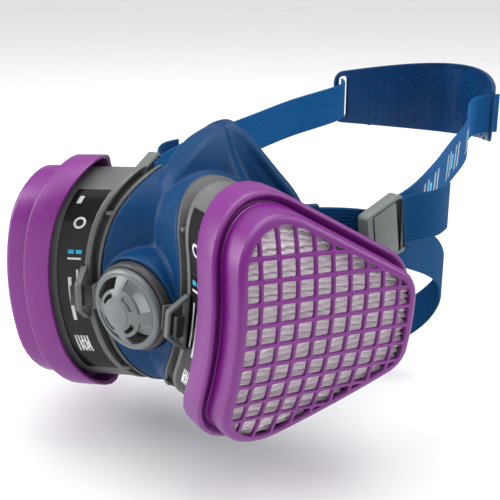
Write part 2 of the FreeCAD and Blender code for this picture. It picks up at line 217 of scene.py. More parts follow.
def join(shapes):
    """One shape from several."""
    vertices, faces = [], []
    for points, polygons in shapes:
        start = len(vertices)
        vertices += list(points)
        faces += [tuple(start + k for k in face) for face in polygons]
    return vertices, faces


def fillet(a, b, c, radius, steps=4):
    """Points that round the corner b of the path a, b, c."""
    a, b, c = Vector(a), Vector(b), Vector(c)
    before, after = (a - b).normalized(), (c - b).normalized()
    half = before.angle(after) / 2
    reach = radius / math.tan(half)
    centre = b + (before + after).normalized() * (radius / math.sin(half))
    start, end = b + before * reach - centre, b + after * reach - centre
    whole = start.angle(end)
    out = []
    for i in range(steps + 1):
        t = i / steps
        spoke = (start * math.sin((1 - t) * whole) + end * math.sin(t * whole)) / math.sin(whole)
        out.append(tuple(centre + spoke))
    return out


def rounded(points, radii, steps=4):
    """Closed flat path with each corner rounded by its own radius, or left where the radius is 0."""
    corners = [(x, y, 0) for x, y in points]
    out = []
    for i, (corner, radius) in enumerate(zip(corners, radii)):
        if radius:
            out += fillet(corners[i - 1], corner, corners[(i + 1) % len(corners)], radius, steps)
        else:
            out.append(corner)
    return [p[:2] for p in out]


def circle(radius, count):
    angles = [2 * math.pi * i / count for i in range(count)]
    return [(radius * math.cos(a), radius * math.sin(a)) for a in angles]


def revolve(profile, count=96):
    """Closed ring from a closed profile of (radius, height)."""
    points = []
    for radius, height in profile:
        points += [Vector((x, y, height)) for x, y in circle(radius, count)]
    return points, grid(len(profile), count, True, True)


def cap(radius, height, count, rings):
    """Closed button: a domed top on a flat base."""
    ball = (radius * radius + height * height) / 2 / height
    points = [Vector((0, 0, height))]
    for i in range(1, rings + 1):
        r = radius * i / rings
        z = height - ball + math.sqrt(ball * ball - r * r)
        points += [Vector((x, y, z)) for x, y in circle(r, count)]
    faces = [(0, 1 + j, 1 + (j + 1) % count) for j in range(count)]
    faces += grid(rings, count, False, True, 1)
    last = 1 + (rings - 1) * count
    faces.append(tuple(last + j for j in range(count))[::-1])
    return points, faces


def plate(outer, holes, thickness, bevel, longest=4.0):
    """Flat plate between z = -thickness and 0 with rounded edges, in small triangles."""
    curve = bpy.data.curves.new("plate", "CURVE")
    curve.dimensions = "2D"
    curve.fill_mode = "BOTH"
    curve.extrude = thickness / 2 - bevel
    curve.bevel_depth = bevel
    curve.bevel_resolution = 2
    curve.offset = -bevel
    for path in [outer] + holes:
        spline = curve.splines.new("POLY")
        spline.points.add(len(path) - 1)
        for point, (x, y) in zip(spline.points, path):
            point.co = (x, y, 0, 1)
        spline.use_cyclic_u = True
    holder = link("plate", curve)
    mesh = bpy.data.meshes.new_from_object(holder)
    bpy.data.objects.remove(holder)
    work = bmesh.new()
    work.from_mesh(mesh)
    bmesh.ops.remove_doubles(work, verts=work.verts, dist=1e-4)
    bmesh.ops.triangulate(work, faces=work.faces)
    for _ in range(6):
        long_edges = [e for e in work.edges if e.calc_length() > longest]
        if not long_edges:
            break
        bmesh.ops.subdivide_edges(work, edges=long_edges, cuts=1)
        bmesh.ops.triangulate(work, faces=[f for f in work.faces if len(f.verts) > 3])
    bmesh.ops.recalc_face_normals(work, faces=work.faces)
    work.verts.index_update()
    points = [Vector((v.co.x, v.co.y, v.co.z - thickness / 2)) for v in work.verts]
    faces = [tuple(v.index for v in f.verts) for f in work.faces]
    work.free()
    bpy.data.meshes.remove(mesh)
    return points, faces


def leftward(a, b, p):
    """How far p lies to the left of the line from a to b, times that line's length."""
    return (b[0] - a[0]) * (p[1] - a[1]) - (b[1] - a[1]) * (p[0] - a[0])


def clip(polygon, window):
    """Part of one convex polygon inside another; both run anticlockwise."""
    for i, a in enumerate(window):
        b = window[(i + 1) % len(window)]
        kept = []
        for j, p in enumerate(polygon):
            q = polygon[(j + 1) % len(polygon)]
            side_p, side_q = leftward(a, b, p), leftward(a, b, q)
            if side_p >= 0:
                kept.append(p)
            if side_p * side_q < 0:
                t = side_p / (side_p - side_q)
                kept.append((p[0] + t * (q[0] - p[0]), p[1] + t * (q[1] - p[1])))
        polygon = kept
        if len(polygon) < 3:
            return []
    return polygon


def area(polygon):
    return sum(p[0] * q[1] - q[0] * p[1] for p, q in zip(polygon, polygon[1:] + polygon[:1])) / 2


def tidy(polygon, shortest=0.35):
    """Drops points that lie closer than this to the one before."""
    out = []
    for p in polygon:
        if not out or math.dist(p, out[-1]) > shortest:
            out.append(p)
    if len(out) > 2 and math.dist(out[0], out[-1]) < shortest:
        out.pop()
    return out


def bend(start, corner, end, steps=6):
    """Points along the parabola that leaves and arrives in line with the corner."""
    points = []
    for i in range(steps + 1):
        t = i / steps
        points.append(start * (1 - t) ** 2 + corner * (2 * t * (1 - t)) + end * t ** 2)
    return points


def soft_corners(polygon, radius, steps=3):
    """Rounds each corner as far as its edges allow."""
    out = []
    for i, b in enumerate(polygon):
        a, c = polygon[i - 1], polygon[(i + 1) % len(polygon)]
        first, second = Vector(a) - Vector(b), Vector(c) - Vector(b)
        reach = min(radius, 0.45 * first.length, 0.45 * second.length)
        start, end = Vector(b) + first.normalized() * reach, Vector(b) + second.normalized() * reach
        out += [(p.x, p.y) for p in bend(start, Vector(b), end, steps)]
    return out


# ---- cartridge outline --------------------------------------------------
def outline(grow, rear=REAR_U, arc=10, run=14):
    """Points of the rounded trapezoid moved outward by grow, anticlockwise."""
    rear_half = FRONT_HALF - TAPER * (rear - FRONT_U)
    corners = [(FRONT_U, -FRONT_HALF), (rear, -rear_half), (rear, rear_half), (FRONT_U, FRONT_HALF)]
    radii = [FRONT_CORNER, REAR_CORNER, REAR_CORNER, FRONT_CORNER]
    arcs = []
    for i, corner in enumerate(corners):
        path = fillet((*corners[i - 1], 0), (*corner, 0), (*corners[(i + 1) % 4], 0), radii[i], arc)
        start, end = Vector(path[0]), Vector(path[-1])
        before = (Vector((*corner, 0)) - start).normalized()
        normal = Vector((before.y, -before.x, 0))
        centre = start - normal * radii[i]
        arcs.append([centre + (Vector(p) - centre) * ((radii[i] + grow) / radii[i]) for p in path])
    points = []
    for i, path in enumerate(arcs):
        points += path
        following = arcs[(i + 1) % 4][0]
        points += [path[-1].lerp(following, (k + 1) / run) for k in range(run - 1)]
    return [(p.x, p.y) for p in points]


def sweep(profile, rear=REAR_U):
    """Closed ring round the cartridge from a closed profile of (grow, depth, drop)."""
    points, count = [], 0
    for grow, depth, drop in profile:
        path = outline(grow, rear)
        count = len(path)
        points += [bowed(u, v, depth, drop) for u, v in path]
    return points, grid(len(profile), count, True, True)


def flat_profile(points, radii):
    """Rounded closed profile in (grow, depth), with no drop."""
    return [(x, y, 0) for x, y in rounded(points, radii)]


# ---- materials ----------------------------------------------------------
class Nodes:
    """Small helper round one material's node tree."""

    def __init__(self, name, roughness=0.5, **settings):
        self.material = bpy.data.materials.new(name)
        self.material.use_nodes = True
        self.tree = self.material.node_tree
        self.shader = self.tree.nodes["Principled BSDF"]
        self.shader.inputs["Roughness"].default_value = roughness
        for key, value in settings.items():
            self.shader.inputs[key.replace("_", " ")].default_value = value

    def add(self, kind, **inputs):
        node = self.tree.nodes.new(kind)
        for key, value in inputs.items():
            node.inputs[key].default_value = value
        return node

    def link(self, source, target):
        self.tree.links.new(source, target)

    def place(self, uv=False):
        """Coordinates in millimetres."""
        source = self.add("ShaderNodeTexCoord").outputs["UV" if uv else "Object"]
        mapping = self.add("ShaderNodeMapping")
        mapping.inputs["Scale"].default_value = [1 if uv else 1 / MM] * 3
        self.link(source, mapping.inputs["Vector"])
        return mapping.outputs["Vector"]

    def noise(self, vector, scale, detail=3.0, rough=0.5):
        node = self.add("ShaderNodeTexNoise", Scale=scale, Detail=detail, Roughness=rough)
        self.link(vector, node.inputs["Vector"])
        return node.outputs["Fac"]

    def ramp(self, value, low, high, to_low, to_high):
        node = self.add("ShaderNodeMapRange")
        for key, number in (("From Min", low), ("From Max", high), ("To Min", to_low), ("To Max", to_high)):
            node.inputs[key].default_value = number
        self.link(value, node.inputs["Value"])
        return node.outputs["Result"]

    def mix(self, value, first, second):
        node = self.add("ShaderNodeMix")
        node.data_type = "RGBA"
        self.link(value, node.inputs["Factor"])
        node.inputs["A"].default_value = (*first, 1)
        node.inputs["B"].default_value = (*second, 1)
        return node.outputs["Result"]

    def maths(self, operation, first, second=0.0):
        node = self.add("ShaderNodeMath")
        node.operation = operation
        for socket, value in ((node.inputs[0], first), (node.inputs[1], second)):
            if isinstance(value, (int, float)):
                socket.default_value = value
            else:
                self.link(value, socket)
        return node.outputs["Value"]

    def colour(self, socket):
        self.link(socket, self.shader.inputs["Base Color"])

    def vary(self, value, colour, darkest, lightest):
        """Colour that wanders between two shares of itself."""
        darker = tuple(c * darkest for c in colour)
        lighter = tuple(min(1, c * lightest) for c in colour)
        self.colour(self.mix(self.ramp(value, 0.3, 0.7, 0, 1), darker, lighter))

    def roughness(self, socket):
        self.link(socket, self.shader.inputs["Roughness"])

    def bump(self, height, strength, distance_mm):
        node = self.add("ShaderNodeBump", Strength=strength, Distance=distance_mm * MM)
        self.link(height, node.inputs["Height"])
        if self.shader.inputs["Normal"].links:
            self.link(self.shader.inputs["Normal"].links[0].from_socket, node.inputs["Normal"])
        self.link(node.outputs["Normal"], self.shader.inputs["Normal"])


def moulded(name, colour, roughness=0.4, grain=0.25, variation=0.12, scuff=0.12, **settings):
    """Injection-moulded plastic: slight cloudiness, a fine grain and scuffed patches."""
    look = Nodes(name, roughness, **settings)
    where = look.place()
    look.vary(look.noise(where, 0.045, 4.0), colour, 1 - variation, 1 + variation)
    scuffs = look.noise(where, 0.22, 6.0, 0.65)
    look.roughness(look.ramp(scuffs, 0.35, 0.75, roughness - scuff * 0.4, roughness + scuff))
    look.bump(look.noise(where, 3.2, 3.0, 0.6), grain, 0.05)
    return look.material


def elastomer(name, colour, roughness):
    """Soft satin rubber with a faint bloom."""
    look = Nodes(name, roughness, Sheen_Weight=0.015, Sheen_Roughness=0.4, Specular_IOR_Level=0.18)
    look.shader.inputs["Sheen Tint"].default_value = (0.4, 0.7, 1.0, 1)
    where = look.place()
    look.vary(look.noise(where, 0.035, 5.0, 0.6), colour, 0.86, 1.16)
    look.roughness(look.ramp(look.noise(where, 0.3, 5.0, 0.6), 0.3, 0.7, roughness - 0.05, roughness + 0.09))
    look.bump(look.noise(where, 4.5, 4.0, 0.6), 0.2, 0.04)
    return look.material


def webbing(name, colour, dark):
    """Ribbed elastic webbing: lengthwise cords crossed by fine slanted threads, with painted shade in the
    grooves between them and random flecks.
    """
    look = Nodes(name, 0.75, Sheen_Weight=0.04, Sheen_Roughness=0.45, Specular_IOR_Level=0.15)
    look.shader.inputs["Sheen Tint"].default_value = (0.35, 0.65, 1.0, 1)
    where = look.place(uv=True)
    apart = look.add("ShaderNodeSeparateXYZ")
    look.link(where, apart.inputs["Vector"])
    across, along = apart.outputs["X"], apart.outputs["Y"]
    cords = look.maths("SINE", look.maths("MULTIPLY", across, 2 * math.pi * WEBBING_CORDS / WEBBING_WIDTH))
    slant = look.maths("ADD", look.maths("MULTIPLY", along, 5.2), look.maths("MULTIPLY", across, 2.6))
    threads = look.maths("SINE", slant)
    weave = look.maths("ADD", look.maths("MULTIPLY", cords, 0.55), look.maths("MULTIPLY", threads, 0.45))
    fuzz = look.noise(where, 2.4, 3.0, 0.7)
    # colour follows the weave: painted shade in the grooves between cords and threads, plus random lighter
    # flecks from the fuzz
    groove_shade_and_flecks = look.maths("ADD", look.ramp(weave, -1, 1, 0.0, 0.8), look.maths("MULTIPLY", fuzz, 0.55))
    look.colour(look.mix(groove_shade_and_flecks, dark, colour))
    look.roughness(look.ramp(fuzz, 0.3, 0.7, 0.62, 0.82))
    look.bump(weave, 0.8, 0.24)
    look.bump(fuzz, 0.25, 0.08)
    return look.material


def paper(name):
    """Bonded filter paper: warm white with pink cast and felted fibres."""
    look = Nodes(name, 0.9, Sheen_Weight=0.2)
    where = look.place()
    blotch = look.ramp(look.noise(where, 0.22, 3.0), 0.35, 0.65, 0, 1)
    look.colour(look.mix(blotch, (0.90, 0.82, 0.85), (0.96, 0.93, 0.94)))
    look.bump(look.noise(where, 3.0, 6.0, 0.75), 0.45, 0.12)
    return look.material


MAGENTA = (0.175, 0.007, 0.200)
CAP = moulded("cap_magenta", MAGENTA, 0.34, 0.16, 0.05, 0.1, Coat_Weight=0.15, Coat_Roughness=0.25)
HOUSING = moulded("housing_magenta", (0.188, 0.014, 0.210), 0.36, 0.18, 0.05, 0.1, Coat_Weight=0.12,
                  Coat_Roughness=0.28)
MEDIA = paper("filter_paper")
SCREEN = moulded("screen_white", (0.72, 0.72, 0.70), 0.85, 0.5)
CARBON = moulded("carbon_granules", (0.02, 0.02, 0.022), 0.7, 1.0, 0.4)
CANISTER = moulded("canister_grey", (0.125, 0.13, 0.13), 0.42, 0.35, 0.08)
LABEL = moulded("label_black", (0.008, 0.008, 0.008), 0.2, 0.05, 0.2, 0.1, Specular_IOR_Level=0.3)
PRINT = moulded("print_white", (0.72, 0.73, 0.72), 0.4, 0.05, 0.05)
PRINT_CYAN = moulded("print_cyan", (0.02, 0.42, 0.72), 0.4, 0.05, 0.05)
INK_GREY = moulded("ink_grey", (0.30, 0.38, 0.48), 0.6, 0.5, 0.15)
INK_CYAN = moulded("ink_cyan", (0.01, 0.52, 0.85), 0.6, 0.5, 0.1)
GASKET = moulded("gasket_black", (0.03, 0.03, 0.028), 0.55, 0.3)
PORT = moulded("port_grey", (0.085, 0.088, 0.085), 0.38, 0.25)
LATCH = moulded("latch_black", (0.015, 0.016, 0.018), 0.3, 0.15)
SILICONE = moulded("silicone_clear", (0.80, 0.84, 0.86), 0.25, 0.05, 0.05, 0.05, Coat_Weight=0.4,
                   Coat_Roughness=0.1)
SEAT = moulded("seat_grey", (0.045, 0.046, 0.047), 0.38, 0.25)
COVER = moulded("cover_grey", (0.15, 0.168, 0.175), 0.3, 0.12, 0.05, 0.08, Coat_Weight=0.15,
                Coat_Roughness=0.2)
BUCKLE_GREY = moulded("buckle_grey", (0.135, 0.155, 0.145), 0.42, 0.35, 0.08)
STEEL = moulded("pin_steel", (0.55, 0.55, 0.56), 0.3, 0.1, 0.05, 0.1, Metallic=1.0)
FACE = elastomer("facepiece_blue", (0.001, 0.040, 0.128), 0.38)
CRADLE = elastomer("cradle_navy", (0.001, 0.036, 0.125), 0.38)
STRAP = webbing("webbing_blue", (0.001, 0.122, 0.355), (0.001, 0.032, 0.125))
# darker copy of the same webbing: painted shade, used for the strap tails and the lower strap
STRAP_SHADED = webbing("webbing_tail", (0.001, 0.085, 0.245), (0.001, 0.023, 0.090))


# ---- pieces of the cartridge --------------------------------------------
def cover_shell():
    """Step wall, rounded shoulder and flat rim of the grille cover."""
    corners = [(0.5, 15.0), (0.5, 13.9), (0.1, 13.4), (-0.3, 0), (-RIM, 0), (-RIM, 2.3), (-2.6, 2.6),
               (-2.5, 15.0)]
    return sweep(flat_profile(corners, [0.15, 0.2, 0.2, 2.3, 0.5, 0.3, 0.7, 0.2]))


def grille():
    """Square mesh moulded into the cover, in one piece with it."""
    window = outline(-RIM - 0.12)
    lines = [i * PITCH for i in range(-RIB_REACH, RIB_REACH + 1)]
    lows = [-FRONT_HALF] + [at + RIB / 2 for at in lines]
    highs = [at - RIB / 2 for at in lines] + [FRONT_HALF]
    holes = []
    for u0, u1 in zip(lows, highs):
        for v0, v1 in zip(lows, highs):
            cell = tidy(clip([(u0, v0), (u1, v0), (u1, v1), (u0, v1)], window))
            if len(cell) > 2 and area(cell) > 3:
                holes.append(soft_corners(cell, 1.1))
    points, faces = plate(outline(-RIM + 1.4), holes, 2.0, 0.35, 3.5)
    return [bowed(p.x, p.y, 0.12 - p.z) for p in points], faces


def pleats():
    """Folded paper sheet: rounded crests, narrow valleys, pinched a little at even steps along u."""
    window = outline(-3.2)
    reach = max(v for _, v in window)
    per_pleat = 8
    count = int(2 * reach / PLEAT * per_pleat)
    columns = 70
    top, bottom = [], []
    for i in range(count + 1):
        v = -reach + 0.02 + (2 * reach - 0.04) * i / count
        low, high = crossing(window, v)
        for j in range(columns):
            u = low + (high - low) * j / (columns - 1)
            wander = 0.35 * math.sin(u * 0.66 + 2.1 * math.sin(v * 0.31)) + 0.25 * math.sin(u * 1.9 + v)
            phase = (v + wander) / PLEAT
            height = abs(math.cos(math.pi * phase)) ** 0.55
            swell = 0.5 * math.sin(u * 0.33 + v * 0.5) + 0.35 * math.sin(u * 1.15 + 1.7 * v)
            top.append(bowed(u, v, MEDIA_TOP + PLEAT_DEPTH * (1 - height) + 0.25 * swell))
            bottom.append(bowed(u, v, MEDIA_BACK))
    return slab(top, bottom, count + 1, columns)


def crossing(polygon, v):
    """Lowest and highest u where the level line v meets a convex polygon."""
    found = []
    for p, q in zip(polygon, polygon[1:] + polygon[:1]):
        if (p[1] - v) * (q[1] - v) <= 0 and abs(p[1] - q[1]) > 1e-9:
            found.append(p[0] + (q[0] - p[0]) * (v - p[1]) / (q[1] - p[1]))
    return min(found), max(found)


def slab(top, bottom, rows, cols):
    """Closed block between two grids of points."""
    size = rows * cols
    faces = grid(rows, cols)
    faces += [face[::-1] for face in grid(rows, cols, start=size)]
    border = [(0, j) for j in range(cols)] + [(i, cols - 1) for i in range(1, rows)]
    border += [(rows - 1, j) for j in range(cols - 2, -1, -1)] + [(i, 0) for i in range(rows - 2, 0, -1)]
    ids = [i * cols + j for i, j in border]
    for a, b in zip(ids, ids[1:] + ids[:1]):
        faces.append((b, a, a + size, b + size))
    return top + bottom, faces


def housing_shell():
    """Flange with a rounded front edge, and the skirt that hangs from it."""
    corners = [(-4, 17.2), (-4, 15.0), (0.7, 15.8), (1.5, 14.8), (3.4, 12.5), (FLANGE, 12.0),
               (FLANGE + 0.1, SKIRT_END), (FLANGE - 1.9, SKIRT_END), (2.8, 17.4)]
    return sweep(flat_profile(corners, [0.2, 0.2, 0.3, 0.7, 0.9, 1.3, 0.7, 0.5, 1.2]))


def canister_depth(u):
    """Depth of the canister's inner end, sloped at the rear to clear the cheek."""
    run = REAR_U + 2 - CHEEK_START
    return CANISTER_END - max(0.0, u - CHEEK_START) * (CANISTER_END - CHEEK_TOP) / run


def canister_shell():
    """Deep cup with a raised lip at its inner end and a round outlet in the floor."""
    points = []
    count = len(outline(0))
    for grow, depth in [(-2.3, 14.4), (-0.5, 14.4), (-0.5, 22.0)]:
        points += [bowed(u, v, depth) for u, v in outline(grow)]
    lip = [(-0.5, 3.4), (-0.1, 3.0), (0.1, 2.4), (0.1, 0.9), (-0.15, 0.3), (-0.8, 0.0)]
    for grow, above in lip:
        points += [bowed(u, v, canister_depth(u) - above) for u, v in outline(grow)]
    spokes = [Vector((u - INTAKE_U, v)).normalized() * INTAKE_RADIUS for u, v in outline(0)]
    outlet = [(INTAKE_U + spoke.x, spoke.y) for spoke in spokes]
    for below, shares in ((0.0, (0.25, 0.5, 0.75, 1.0)), (2.0, (1.0, 0.75, 0.5, 0.25))):
        for share in shares:
            for (u, v), (a, b) in zip(outline(-2.3), outlet):
                x, y = u + (a - u) * share, v + (b - v) * share
                points.append(bowed(x, y, canister_depth(x) - below))
    return points, grid(len(points) // count, count, True, True)


def front_run(grow, v0, v1):
    """Points of the canister's front wall between two heights, from low to high."""
    path = [p for p in outline(grow, arc=40, run=60) if p[0] < 0]
    path.sort(key=lambda p: math.atan2(p[1], -p[0]))
    return [p for p in path if v0 <= p[1] <= v1 and p[0] < FRONT_U + FRONT_CORNER + 1]


def label_sheet(grow, low, high, v0, v1, rows=10):
    """Thin wrap on the front wall between two depths and two heights."""
    def layer(extra):
        path = front_run(grow + extra, v0, v1)
        return [[bowed(u, v, low + (high - low) * i / rows) for u, v in path] for i in range(rows + 1)]

    outer, inner = layer(0.12), layer(0.0)
    cols = min(len(outer[0]), len(inner[0]))
    top = [p for row in outer for p in row[:cols]]
    bottom = [p for row in inner for p in row[:cols]]
    return slab(top, bottom, rows + 1, cols)


def label_mark(depth0, depth1, v0, v1):
    """Small printed block on the label."""
    return label_sheet(-0.28, depth0, depth1, v0, v1, rows=4)


def label_ring(depth, v, radius):
    """Small printed disc on the label's flat stretch."""
    front = FRONT_U + 0.3
    points, faces = revolve([(radius, 0), (radius * 0.62, 0), (radius * 0.62, 0.1), (radius, 0.1)], 32)
    return [bowed(front - p.z, v + p.y, depth + p.x) for p in points], faces


def bevelled(name, node, material, width, body):
    """Copy of a CAD piece with its edges broken, standing for it."""
    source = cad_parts[node]
    mesh = source.data.copy()
    mesh.name = name
    mesh.materials.clear()
    mesh.materials.append(material)
    with editing(mesh) as work:
        bmesh.ops.remove_doubles(work, verts=work.verts, dist=2e-6)
        bmesh.ops.dissolve_limit(work, angle_limit=math.radians(1), verts=work.verts, edges=work.edges)
    piece = link(name, mesh)
    bevel = piece.modifiers.new("edges", "BEVEL")
    bevel.width = width * MM
    bevel.segments = 2
    bevel.limit_method = "ANGLE"
    bevel.angle_limit = math.radians(38)
    bevel.use_clamp_overlap = True
    apply_modifiers(piece)
    finish_mesh(piece.data, 40)
    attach(piece, body)
    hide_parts(node)


def apply_modifiers(piece):
    deps = bpy.context.evaluated_depsgraph_get()
    mesh = bpy.data.meshes.new_from_object(piece.evaluated_get(deps))
    old = piece.data
    piece.modifiers.clear()
    piece.data = mesh
    bpy.data.meshes.remove(old)


def cartridges():
    cover, mesh, media = cover_shell(), grille(), pleats()
    housing, cup, wrap = housing_shell(), canister_shell(), label_sheet(-0.35, 28.0, 43.6, -46, 47)
    marks = [label_mark(31.0, 33.2, 40, 44.5), label_mark(34.0, 41.5, 39, 40),
             label_mark(38.4, 39.4, -16, 8), label_mark(34.0, 35.8, -20, 4)]
    marks += [label_mark(31.5 + 1.5 * k, 32.3 + 1.5 * k, -36, -27) for k in range(5)]
    cyan = [label_mark(33.5, 36.5, 15, 17.5), label_mark(37.6, 40.6, 15, 17.5)]
    white = [label_mark(33.5, 40.6, 12, 13.2), label_mark(33.5, 40.6, 19.3, 20.5)]
    rings = [label_ring(36.5, 31, 3.0), label_ring(35.5, -32, 2.4)]
    pieces = [("grille_cover_shell_", join([cover, mesh]), CAP, "cap", ["grille_cover_"], 32),
              ("pleated_pack_", media, MEDIA, "filter_paper", ["pleated_media_"], 75),
              ("housing_shell_", housing, HOUSING, "cap", ["filter_housing_"], 32),
              ("canister_shell_", cup, CANISTER, "canister", ["canister_"], 32),
              ("label_wrap_", wrap, LABEL, "label", ["canister_label_"], 32),
              ("label_print_", join(marks + white + rings), PRINT, "label", [], 32),
              ("label_print_cyan_", join(cyan), PRINT_CYAN, "label", [], 32)]
    for side, sign in SIDES:
        body = side + "_cartridge"
        for name, shape, look, slot, nodes, sharp in pieces:
            add_piece(name + side, shape, look, body, slot, *[node + side for node in nodes],
                      place=CARTRIDGE, side=sign, sharp=sharp)
        bevelled("latch_loop_piece_" + side, "latch_loop_" + side, CANISTER, 0.5, body)
        bevelled("latch_tongue_piece_" + side, "latch_tongue_" + side, LATCH, 0.35, "latch_tongue_" + side)
        bevelled("port_frame_piece_" + side, "port_frame_" + side, PORT, 0.3, "root")


# ---- facepiece ----------------------------------------------------------
# height, front y, seal y, half width at the front, half width at the seal
FACE_SECTIONS = [
    (-63, -46, -26, 5, 14), (-56, -58, -17, 9, 27), (-46, -68, -5, 12, 37), (-30, -73, 4, 13, 45),
    (-10, -73, 9, 10, 47), (10, -71, 8, 7, 45), (22, -68, 4, 4.5, 40), (34, -63.5, 0, 4, 33.5),
    (44, -58.5, -5, 5, 27.5), (52, -52, -9, 6, 21.5), (58.5, -43, -11, 6.5, 16), (63.5, -33, -12, 5.5, 11),
    (66.5, -23, -13, 3, 7),
]
SEAL_LOOP = [(0, -10, 66.5), (7.5, -11.5, 64), (14, -10.5, 59.5), (20.5, -10, 53), (27.5, -6, 43),
             (34.5, 0, 31), (43, 7, 10), (47.5, 11.5, -10), (46, 9, -30), (36, -2, -50), (19, -15, -60),
             (0, -20, -63.5)]
SEAL_ROLL = 3.6
FACE_WALL = 3.0
VALLEY = 3.4


def spline(points, closed=False, per=12):
    """Smooth line through the points, close to evenly spaced in each span."""
    knots = [Vector(p) for p in points]
    if closed:
        knots = knots[-2:] + knots + knots[:3]
    else:
        knots = [knots[0] * 2 - knots[1]] + knots + [knots[-1] * 2 - knots[-2]]
    out = []
    first, last = (2, len(knots) - 3) if closed else (1, len(knots) - 2)
    for i in range(first, last):
        a, b, c, d = knots[i - 1:i + 3]
        for k in range(per):
            t = k / per
            out.append(0.5 * ((2 * b) + (c - a) * t + (2 * a - 5 * b + 4 * c - d) * t * t
                              + (3 * b - a - 3 * c + d) * t ** 3))
    if not closed:
        out.append(knots[last])
    return out


def face_section(z, front, seal, half_front, half_seal, inset):
    """Half outline of a level slice, from the centre to the seal, moved inward by inset."""
    depth, flare = seal - front, half_seal - half_front
    valley = VALLEY * min(1.0, max(0.0, (z - 14) / 18))
    points = [(0, front), (half_front * 0.55, front + 0.004 * depth), (half_front, front + 0.03 * depth),
              (half_front + 0.22 * flare, front + 0.17 * depth),
              (half_front + 0.56 * flare, front + 0.43 * depth),
              (half_front + 0.72 * flare, front + 0.58 * depth),
              (half_front + 0.82 * flare - valley, front + 0.72 * depth),
              (half_front + 0.93 * flare - 0.3 * valley, front + 0.86 * depth), (half_seal, seal)]
    line = spline([(x, y, 0) for x, y in points], per=6)
    out = []
    for i, p in enumerate(line):
        a, b = line[max(0, i - 1)], line[min(len(line) - 1, i + 1)]
        along = (b - a).normalized()
        normal = Vector((-along.y, along.x, 0))
        moved = p + normal * inset
        out.append(Vector((max(0.0, moved.x) if i else 0.0, moved.y, z)))
    return out


def face_surface(inset):
    """Rows of points over the whole front, from one seal edge to the other."""
    rows = []
    levels = spline([(s[0], s[1], s[2]) for s in FACE_SECTIONS], per=4)
    widths = spline([(s[3], s[4], 0) for s in FACE_SECTIONS], per=4)
    for level, width in zip(levels, widths):
        z = level.x * (1 - inset / 68)
        half = face_section(z, level.y, level.z, max(width.x, 1.5), width.y, inset)
        rows.append([Vector((-p.x, p.y, p.z)) for p in half[::-1]] + half[1:])
    return rows


def face_shell():
    """Thin-walled closed solid of the mask's body, open at the back."""
    outer, inner = face_surface(0), face_surface(FACE_WALL)
    cols, rows = len(outer[0]), len(outer)
    size = rows * cols
    faces = grid(rows, cols) + [face[::-1] for face in grid(rows, cols, start=size)]
    for start in (0, size - cols):
        faces.append(tuple(start + j for j in range(cols)))
        faces.append(tuple(size + start + j for j in range(cols))[::-1])
        faces.append((start, start + cols - 1, start + size + cols - 1, start + size))
    for j in (0, cols - 1):
        for i in range(rows - 1):
            a, b = i * cols + j, (i + 1) * cols + j
            faces.append((a, b, b + size, a + size))
    points = [p for row in outer + inner for p in row]
    return points, faces


def closed_tube(path, radius):
    """Closed roll along a closed path, flattened a little."""
    points = []
    size, count, flatten = len(path), 14, 0.7
    for i, p in enumerate(path):
        along = (path[(i + 1) % size] - path[i - 1]).normalized()
        side = along.cross(Vector((0, 1, 0))).normalized()
        other = side.cross(along)
        for k in range(count):
            a = 2 * math.pi * k / count
            points.append(p + side * (radius * flatten * math.cos(a)) + other * (radius * math.sin(a)))
    return points, grid(size, count, True, True)


def collar():
    """Wall that carries the port frame, running in to the middle of the mask."""
    corners = [(0.75, PORT_DEPTH + 1.9, 0), (0.9, PORT_DEPTH + 1.9, 30), (-2.6, PORT_DEPTH + 1.9, 30),
               (-2.6, PORT_DEPTH + 1.9, 0)]
    return placed(sweep(corners, PORT_REAR_U), CARTRIDGE)


def simple_object(name, shape):
    mesh = bpy.data.meshes.new(name)
    mesh.from_pydata([tuple(p) for p in shape[0]], [], shape[1])
    return outward(link(name, mesh))


def cut_away(target, cutter):
    """Takes one closed mesh out of another."""
    change = target.modifiers.new("cut", "BOOLEAN")
    change.operation = "DIFFERENCE"
    change.solver = "EXACT"
    change.use_self = True
    change.object = cutter
    apply_modifiers(target)
    bpy.data.objects.remove(cutter)


def prism(path, low, high):
    count = len(path)
    points = [Vector((x, y, low)) for x, y in path] + [Vector((x, y, high)) for x, y in path]
    faces = grid(2, count, False, True) + [tuple(range(count))[::-1], tuple(range(count, 2 * count))]
    return points, faces


def cut_at_middle(piece, sign):
    """Keeps the half of a closed mesh on one side of the middle plane."""
    with editing(piece.data) as work:
        everything = work.verts[:] + work.edges[:] + work.faces[:]
        bmesh.ops.bisect_plane(work, geom=everything, plane_co=(-0.6 * sign, 0, 0), plane_no=(-sign, 0, 0),
                               clear_outer=True)
        bmesh.ops.holes_fill(work, edges=[e for e in work.edges if e.is_boundary])
    return outward(piece)


def side_object(name, shape, sign):
    """Closed mesh of the left side, or its mirror image, cut off at the middle plane."""
    points, faces = shape
    mirrored = [Vector((p[0] * sign, p[1], p[2])) for p in points]
    return cut_at_middle(simple_object(name, (mirrored, faces)), sign)


def placed(shape, place):
    points, faces = shape
    return [place @ p for p in points], faces


